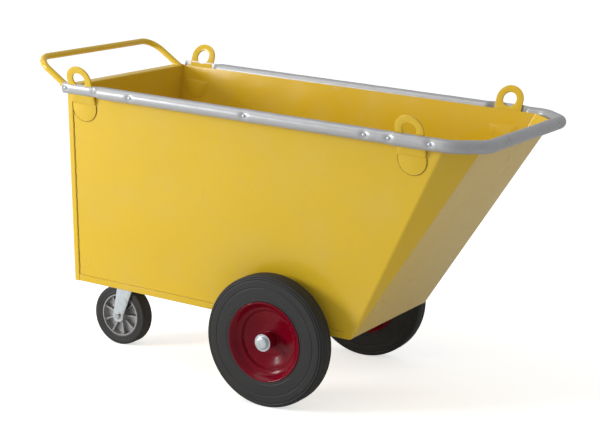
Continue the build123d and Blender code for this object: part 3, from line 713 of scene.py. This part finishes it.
# ---- Tub welds ---------------------------------------------------------------------------------------
# Thin painted seam welds up the edge of the rear wall's side flanges and along the floor's turned-up
# edges. Dark brown strips in the narrow gap beside each seam and round the pads of the lifting eyes
# are painted shade, mixed with dirt.
weld_proud = 0.0008
weld_low = 0.004
weld_high = tub_depth - 0.034
wall_weld, wall_weld_ahead, wall_weld_step = 0.0013, 0.0006, 0.0012
wall_gap, wall_gap_ahead, wall_gap_proud = 0.0008, 0.0024, 0.0001
floor_weld, floor_weld_step = 0.0011, 0.0016
floor_gap, floor_gap_above, floor_gap_proud = 0.0004, 0.0016, 0.0003
eye_gap, eye_gap_proud, eye_gap_step = 0.0009, 0.0014, 0.0014
eye_gap_top = -0.004
seams = []
seam_gaps = []
for side in (-1, 1):
    z = np.arange(weld_low, weld_high, wall_weld_step)
    waver = 0.0009 * np.sin(z * 150.0) + 0.0006 * np.sin(z * 410.0 + 2.0)
    flange_edge = rear_x(z) + flange_depth + waver
    wall_half = wall_half_width(z)
    seam = columns(flange_edge + wall_weld_ahead, side * (wall_half + weld_proud), z)
    gap = columns(flange_edge + wall_gap_ahead, side * (wall_half + wall_gap_proud), z)
    seams.append(weld_bead(seam, wall_weld, False))
    seam_gaps.append(weld_bead(gap, wall_gap, False))

    x = np.arange(flange_start, flange_end, floor_weld_step)
    z = flange_height + 0.0004 + 0.0003 * np.sin(x * 260.0)
    floor_half = wall_half_width(flange_height)
    seam = columns(x, side * (floor_half + weld_proud), z)
    gap = columns(x, side * (floor_half + floor_gap_proud), z + floor_gap_above)
    seams.append(weld_bead(seam, floor_weld, False))
    seam_gaps.append(weld_bead(gap, floor_gap, False))

    # A strip of painted shade runs along the sides and lower end of each eye's pad.
    for place, eye_x in eye_places:
        low = np.linspace(pi, 2 * pi, 60)
        pad_round = eye_radius * np.sin(low) - pad_straight
        pad_rise = np.concatenate([[eye_gap_top], pad_round, [eye_gap_top]])
        pad_x = eye_x + 1.01 * eye_radius * np.concatenate([[-1.0], np.cos(low), [1.0]])
        z = eye_bend + pad_rise * cos(wall_slope)
        outline = columns(pad_x, side * (wall_half_width(z) + eye_gap_proud), z)
        seam_gaps.append(weld_bead(even_steps(outline, eye_gap_step), eye_gap, False))
piece("tub_seam_welds", seams, yellow, "tub")

# Painted shade and dirt: the dark brown finish of the strips in the seam gaps.
gap_shade_and_dirt = Finish("gap_shade_and_grime", IOR=1.4)
gap_shade_and_dirt.feed("Base Color", gap_shade_and_dirt.mix(gap_shade_and_dirt.noise(90.0, 5.0), rgb(0.085, 0.050, 0.010), rgb(0.28, 0.17, 0.02)))
gap_shade_and_dirt.feed("Roughness", 0.75 + gap_shade_and_dirt.noise(40.0) * 0.2)
gap_shade_and_dirt.bump(gap_shade_and_dirt.noise(600.0), 0.0001)
piece("eye_seam_gaps", seam_gaps, gap_shade_and_dirt, "tub")


# ---- Axle and its brackets ---------------------------------------------------------------------------
# A 25 mm bright steel axle through two painted brackets under the floor, with spacers, washers and domed
# zinc-plated caps pressed on its ends.
steel = Finish("plain_steel", Metallic=1.0)
lathe = steel.stretched((80.0, 900.0, 80.0), 3.0)
oil = steel.ramp(steel.noise(18.0, 6.0), 0.45, 0.75)
steel.feed("Base Color", steel.mix(oil * 0.55, rgb(0.50, 0.51, 0.53), rgb(0.24, 0.21, 0.18)))
steel.feed("Roughness", 0.28 + lathe * 0.14 + oil * 0.20)
steel.bump(lathe, 0.00005)
for name, finish in (
    ("main_axle", steel), ("axle_spacer_right", steel), ("axle_spacer_left", steel),
    ("hub_bearings_right", steel), ("hub_bearings_left", steel),
    ("axle_bracket_right", yellow), ("axle_bracket_left", yellow),
    ("axle_washer_right", zinc), ("axle_washer_left", zinc),
):
    frame["nodes"][name].data.materials[0] = finish.material


def turned(profile, centre, side, count, closed):
    """A profile of (distance out along the axle, radius) turned about a cross axle through a centre."""
    profile = np.asarray(profile, float)
    turn = np.arange(count) * 2 * pi / count
    out = centre[1] + side * profile[:, :1]
    ring_x = centre[0] + profile[:, 1:] * np.cos(turn)
    ring_z = centre[2] + profile[:, 1:] * np.sin(turn)
    return (columns(ring_x, out, ring_z), closed, True, not closed)


cap_low, cap_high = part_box("axle_cap_left")
cap_base = cap_low.y
cap_rise = cap_high.y - cap_low.y
cap_radius = (cap_high.z - cap_low.z) / 2
dome_turn = np.linspace(0.0, pi / 2, 12)
cap_rim = 0.0034
cap_hollow = cap_rise - 0.0012
dome_out = cap_rim + (cap_rise - cap_rim) * np.sin(dome_turn) ** 0.62
dome_reach = (cap_radius - 0.0012) * np.cos(dome_turn) ** 0.55
cap_line = np.concatenate([
    [(0.0, 0.0130), (0.0, cap_radius - 0.0006), (0.0006, cap_radius)],
    [(cap_rim - 0.0006, cap_radius), (cap_rim, cap_radius - 0.0009)],
    np.stack([dome_out, dome_reach], -1)[:-1],
    [(cap_hollow, 0.0062), (cap_hollow, 0.0004)],
])
cap_line[:, 0] = np.minimum(cap_line[:, 0], cap_rise)
for side, hand in ((-1, "right"), (1, "left")):
    cap_grid = turned(cap_line, (axle.x, side * cap_base, axle.z), side, 72, False)
    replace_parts(piece(f"hub_cap_{hand}", [cap_grid], zinc, "tub", 30.0), f"axle_cap_{hand}")


# ---- Main wheels -------------------------------------------------------------------------------------
# 400 mm wheels: a solid rubber tyre, with fine grooves moulded at its shoulders, on a pressed steel rim. A
# dished disc and a hub tube are welded into the rim, and the steel is painted red.
wheel_y = abs(hinge_y)
wheel_radius = 0.200
tyre_half = 0.030
rubber = Finish("black_rubber", IOR=1.5)
grain = rubber.noise(900.0, 3.0)
road_grime = rubber.ramp(rubber.noise(14.0, 6.0), 0.40, 0.75)
rubber.feed("Base Color", rubber.mix(road_grime * 0.6, rgb(0.012, 0.012, 0.013), rgb(0.030, 0.029, 0.027)))
rubber.feed("Roughness", 0.52 + road_grime * 0.22 + grain * 0.08)
rubber.bump(grain + rubber.noise(120.0, 4.0) * 2.0, 0.00012)

red = Finish("red_paint", Coat_Weight=0.07, Coat_Roughness=0.04, IOR=1.4, Specular_IOR_Level=0.20)
orange_peel = red.noise(260.0, 2.0)
shade = red.noise(6.0, 4.0)
road_dust = red.ramp(red.noise(22.0, 7.0), 0.46, 0.76)
chips = red.ramp(red.noise(95.0, 6.0), 0.66, 0.69)
lacquer = red.mix(shade, rgb(0.145, 0.0005, 0.008), rgb(0.205, 0.001, 0.012))
lacquer = red.mix(road_dust * 0.03, lacquer, rgb(0.20, 0.05, 0.04))
red.feed("Base Color", red.mix(chips * 0.7, lacquer, rgb(0.06, 0.02, 0.02)))
red.feed("Roughness", 0.13 + shade * 0.06 + road_dust * 0.10 + chips * 0.3)
red.bump(orange_peel - chips * 2.0, 0.00008)

# Points of a wheel's profiles are (distance out from its middle, radius).
shoulder_radius = 0.0215
tread_corners = [
    (0.0105, 0.1069), (0.0277, 0.1199), (tyre_half, 0.1242), (tyre_half, wheel_radius), (0.0, wheel_radius),
]
tread = even_steps(eased(tread_corners, shoulder_radius, 24), 0.0009)
tread = np.concatenate([tread, (tread * (-1, 1))[::-1]])

# Each groove is a bell curve, as (its radius or its distance from the middle, width, depth).
side_grooves = (
    (0.1940, 0.0014, 0.0022), (0.1870, 0.0014, 0.0020), (0.1640, 0.0012, 0.0012), (0.1290, 0.0008, 0.0008),
)
tread_grooves = ((0.0170, 0.0014, 0.0022), (0.0100, 0.0014, 0.0022))
cut = np.zeros(len(tread))
half = np.abs(tread[:, 0])
for groove_radius, width, depth in side_grooves:
    cut += depth * np.exp(-(((tread[:, 1] - groove_radius) / width) ** 2)) * (half > 0.012)
for groove_at, width, depth in tread_grooves:
    cut += depth * np.exp(-(((half - groove_at) / width) ** 2)) * (tread[:, 1] > wheel_radius - 0.005)
tread_run = np.gradient(tread, axis=0)
tread_run /= np.linalg.norm(tread_run, axis=1, keepdims=True)
tread = tread + cut[:, None] * np.stack([-tread_run[:, 1], tread_run[:, 0]], -1)

rim_inside = np.array([
    (0.0292, 0.1214), (0.0320, 0.1199), (0.0304, 0.1163),
    (0.0225, 0.1100), (0.0120, 0.1028), (0.0052, 0.0903),
])
rim_under_tyre = np.array([(0.0035, 0.0940), (0.0102, 0.1063), (0.0195, 0.1126), (0.0277, 0.1196)])
mirrored = np.array([-1.0, 1.0])
rim_corners = [rim_inside, rim_inside[::-1] * mirrored, rim_under_tyre[::-1] * mirrored, rim_under_tyre]
rim_line = eased(np.concatenate(rim_corners), 0.0040, 6, True)
disc_front = [(-0.0010, 0.0903), (-0.0010, 0.0835), (-0.0150, 0.0460), (-0.0150, 0.0232)]
disc_back = [(-0.0180, 0.0232), (-0.0180, 0.0452), (-0.0042, 0.0826), (-0.0042, 0.0903)]
disc_line = np.concatenate([eased(line, 0.012, 10) for line in (disc_front, disc_back)])
hub_corners = [(0.0330, 0.0200), (0.0330, 0.0230), (-0.0420, 0.0230), (-0.0420, 0.0200)]
hub_line = eased(hub_corners, 0.0007, 4, True)
round_section = np.stack([np.cos(angle[::6]), np.sin(angle[::6])], -1)
hub_weld = np.array([-0.0138, 0.0238]) + 0.0026 * round_section
disc_weld = np.array([-0.0002, 0.0893]) + 0.0022 * round_section
for side, hand in ((-1, "right"), (1, "left")):
    centre = (axle.x, side * wheel_y, axle.z)
    body = f"wheel_{hand}"
    for node, shape, lines, count, finish, slot in (
        ("tyre", "grooved", (tread,), 144, rubber, "black_rubber"),
        ("wheel_rim", "rolled", (rim_line,), 144, red, "red_paint"),
        ("wheel_disc", "dished", (disc_line, disc_weld, hub_weld), 120, red, "red_paint"),
        ("hub_tube", "eased", (hub_line,), 96, red, "red_paint"),
    ):
        rings = [turned(line, centre, side, count, True) for line in lines]
        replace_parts(piece(f"{node}_{hand}_{shape}", rings, finish, body, 50.0), f"{node}_{hand}")


# ---- Caster mounting ---------------------------------------------------------------------------------
# A painted block under the floor takes the caster's zinc-plated top plate with four hex bolts. Two race
# rings on a king pin carry the fork.
frame["nodes"]["caster_pad"].data.materials[0] = yellow.material
for name in ("caster_plate", "caster_bolts", "upper_race", "lower_race", "king_pin"):
    frame["nodes"][name].data.materials[0] = zinc.material


# ---- Caster fork -------------------------------------------------------------------------------------
# One strap of 5 mm steel bent over into a crown with two legs, zinc plated. Each leg narrows to a round
# end, and a hex bolt and nut through both ends hold the wheel.
swivel_x = hinge_places["caster_swivel"][0]
caster = Vector(hinge_places["caster_wheel_spin"])
fork_low, fork_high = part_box("caster_fork")
strap = 0.005
strap_bend = 0.016
strap_edge = 0.0012
leg_face = 0.033
leg_end = 0.020
leg_half = 0.034
leg_back = 0.018
crown_swell = 0.006
strap_corners = [
    (-leg_face, fork_low.z), (-leg_face, fork_high.z), (leg_face, fork_high.z), (leg_face, fork_low.z),
]
strap_line = even_steps(eased(strap_corners, strap_bend, 12), 0.002)
strap_run = np.gradient(strap_line, axis=0)
strap_run /= np.linalg.norm(strap_run, axis=1, keepdims=True)
strap_in = np.stack([strap_run[:, 1], -strap_run[:, 0]], -1)
leg_share = np.clip((strap_line[:, 1] - caster.z) / (fork_high.z - caster.z), 0, 1)
strap_mid = caster.x + leg_share * (swivel_x - leg_back - caster.x)
crown_share = np.clip(1 - np.abs(strap_line[:, 0]) / (leg_face + 0.004), 0, 1) ** 0.7
on_crown = strap_line[:, 1] > fork_high.z - 0.001
strap_mid = strap_mid + on_crown * crown_share * leg_back * 0.75
below = np.clip((caster.z - strap_line[:, 1]) / leg_end, 0, 0.9995)
strap_half = leg_end + leg_share * (leg_half - leg_end) + on_crown * crown_share * crown_swell
strap_half = strap_half * (1 - below**3) ** (1 / 3)
across_strap = np.array([-1.0, -0.985, -0.94, -0.5, 0.0, 0.5, 0.94, 0.985, 1.0])
edge_drop = strap_edge * np.array([1.4, 0.5, 0, 0, 0, 0, 0, 0.5, 1.4])


def strap_face(depth, rounding):
    """One face of the strap: its line moved in by depth, and by rounding times the drop at its edges."""
    inward = (depth + rounding * edge_drop)[None, :, None] * strap_in[:, None]
    yz = strap_line[:, None] + inward
    x = strap_mid[:, None] + strap_half[:, None] * across_strap
    return columns(x, yz[..., 0], yz[..., 1])


fork_grid = sheet_shell(strap_face(0.0, 1.0), strap_face(strap, -1.0))
fork_piece = piece("caster_fork_bent", [fork_grid], zinc, "caster_fork_body", 40.0)
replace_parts(fork_piece, "caster_fork")

hex_low, hex_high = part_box("caster_axle_bolt")
hex_tip = -hex_low.y
hex_flat = (hex_high.z - hex_low.z) / 2
washer_reach = 0.0130
hex_turn = np.arange(72) * 2 * pi / 72
hex_reach = 0.985 * hex_flat / np.cos(hex_turn % (pi / 3) - pi / 6)
hex_rows = [
    columns(caster.x + reach * np.cos(hex_turn), -out, caster.z + reach * np.sin(hex_turn))
    for out, reach in (
        (leg_face - 0.0004, washer_reach), (leg_face + 0.0014, washer_reach),
        (leg_face + 0.0016, hex_reach), (hex_tip - 0.0010, hex_reach),
        (hex_tip, 0.97 * hex_flat), (hex_tip, 0.0004),
    )
]
hex_grid = (np.stack(hex_rows), False, True, True)
bolt_head = piece("caster_bolt_head", [hex_grid], steel, "caster_fork_body", 25.0)
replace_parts(bolt_head, "caster_axle_bolt")
frame["nodes"]["caster_axle_nut"].data.materials[0] = zinc.material


# ---- Caster wheel ------------------------------------------------------------------------------------
# An elastic rubber tyre moulded on a die-cast aluminium centre with nine ribs. It runs on bearings round a
# steel sleeve on the axle bolt.
caster_radius = 0.100
caster_half = 0.025
caster_seat = 0.071
caster_shoulder = 0.0080
groove_radii = (0.0835, 0.0790)
groove_size = 0.0007
elastic = Finish("elastic_rubber", IOR=1.5)
elastic_grain = elastic.noise(700.0, 3.0)
elastic_dust = elastic.ramp(elastic.noise(20.0, 6.0), 0.40, 0.75)
scuffed = elastic.mix(elastic_dust * 0.6, rgb(0.014, 0.014, 0.015), rgb(0.040, 0.039, 0.037))
elastic.feed("Base Color", scuffed)
elastic.feed("Roughness", 0.46 + elastic_dust * 0.22 + elastic_grain * 0.08)
elastic.bump(elastic_grain, 0.0001)
soft_corners = [
    (caster_half - 0.0015, caster_seat), (caster_half, caster_seat + 0.004),
    (caster_half, caster_radius), (0.0, caster_radius),
]
soft = even_steps(eased(soft_corners, caster_shoulder, 14), 0.0007)
soft = np.concatenate([soft, (soft * (-1, 1))[::-1]])
groove = sum(groove_size * np.exp(-(((soft[:, 1] - radius) / groove_size) ** 2)) for radius in groove_radii)
soft[:, 0] -= np.sign(soft[:, 0]) * groove
soft_ring = turned(soft, caster, 1, 120, True)
soft_tyre = piece("caster_tyre_moulded", [soft_ring], elastic, "caster_wheel_body", 50.0)
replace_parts(soft_tyre, "caster_tyre")

cast = Finish("cast_aluminium", Metallic=0.9)
flow = cast.noise(30.0, 5.0)
pores = cast.noise(520.0, 3.0)
tarnish = cast.ramp(cast.noise(16.0, 6.0), 0.45, 0.72)
bright = cast.mix(flow, rgb(0.36, 0.36, 0.37), rgb(0.50, 0.50, 0.51))
cast.feed("Base Color", cast.mix(tarnish * 0.5, bright, rgb(0.16, 0.155, 0.15)))
cast.feed("Roughness", 0.34 + flow * 0.12 + tarnish * 0.16)
cast.bump(pores + flow * 2.0, 0.00014)

# The casting's face is a level over radius and angle: the web, raised to the ribs, the hub and the barrel.
rib_count = 9
rib_half, rib_ease = 0.0048, 0.0026
hub_edge, hub_ease = 0.0244, 0.0016
barrel_edge, barrel_ease = 0.0632, 0.0028
web_level = 0.0025
rib_level = 0.0165
barrel_level = 0.0220
hub_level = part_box("caster_rim")[1].y
cast_turn = np.arange(324) * 2 * pi / 324
cast_reach = np.concatenate([
    [0.0162, 0.0166], np.linspace(0.0175, 0.0222, 5), [0.0228, 0.0238, 0.0250],
    np.linspace(0.028, 0.0625, 16), [0.0642, 0.0655, 0.0662, 0.0680, 0.0700, 0.0708],
])[:, None]
off_rib = np.abs((cast_turn * rib_count / (2 * pi) + 0.5) % 1.0 - 0.5) * 2 * pi / rib_count * cast_reach
rib = np.clip((rib_half - off_rib) / rib_ease, 0, 1)
rib = rib * rib * (3 - 2 * rib)
hub_share = np.clip((hub_edge - cast_reach) / hub_ease, 0, 1)
barrel_share = np.clip((cast_reach - barrel_edge) / barrel_ease, 0, 1)
web = web_level + (rib_level - web_level) * rib
face_level = web + (hub_level - web) * hub_share + (barrel_level - web) * barrel_share
cast_x = caster.x + cast_reach * np.cos(cast_turn)
cast_z = caster.z + cast_reach * np.sin(cast_turn)
left_face = columns(cast_x, caster.y + face_level, cast_z)
right_face = columns(cast_x, caster.y - face_level, cast_z)
cast_grid = (np.concatenate([left_face, right_face[::-1]]), True, True, False)
cast_piece = piece("caster_rim_ribbed", [cast_grid], cast, "caster_wheel_body", 40.0)
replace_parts(cast_piece, "caster_rim")
for name in ("caster_axle_sleeve", "caster_bearings"):
    frame["nodes"][name].data.materials[0] = steel.material
